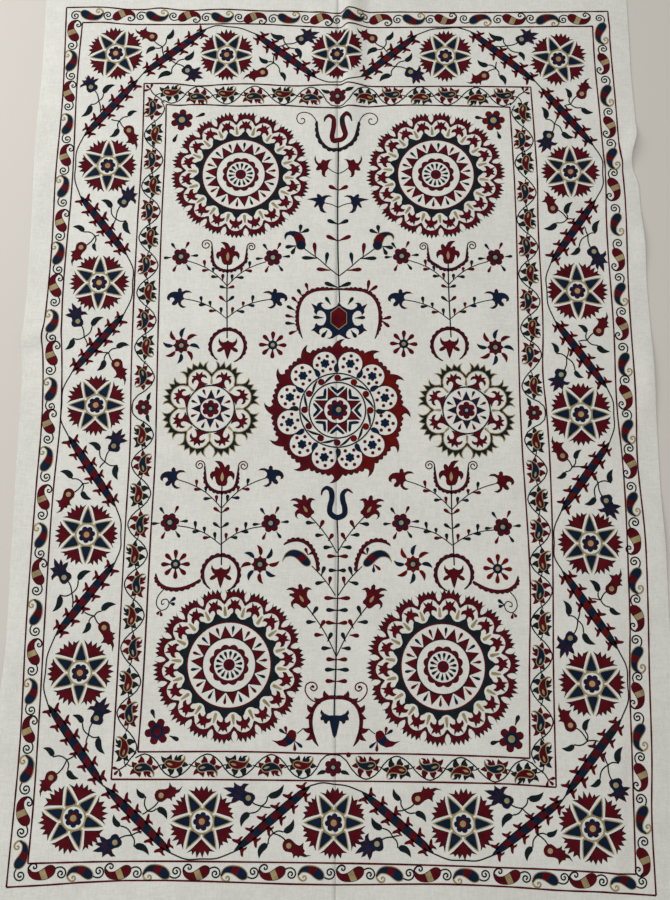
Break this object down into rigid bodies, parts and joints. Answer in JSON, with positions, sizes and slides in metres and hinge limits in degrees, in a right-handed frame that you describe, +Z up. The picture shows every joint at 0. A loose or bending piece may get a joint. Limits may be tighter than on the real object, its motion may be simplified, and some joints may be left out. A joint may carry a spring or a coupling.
{
  "type": "embroidered suzani hanging",
  "caption": "Large off-white cotton hanging laid flat, of two panels joined by a centre seam, worked all over with flowers, medallions and vine borders.",
  "frame": {"origin": "on the ground under the middle of the cloth's bounding box", "axes": "+X across the cloth, +Y along its length towards the end where the seam stands up in a ridge, +Z up out of the embroidered face"},
  "size_m": [1.5419, 2.254, 0.028],
  "materials": {
    "cotton_left": "matt plain-weave cotton with silky stitched motifs in crimson, navy, dark green and gold",
    "cotton_right": "matt plain-weave cotton with silky stitched motifs in crimson, brick red, navy, dark green and gold"
  },
  "bodies": {
    "root": {"panel_left": "cotton_left", "panel_right": "cotton_right"}
  },
  "joints": []
}
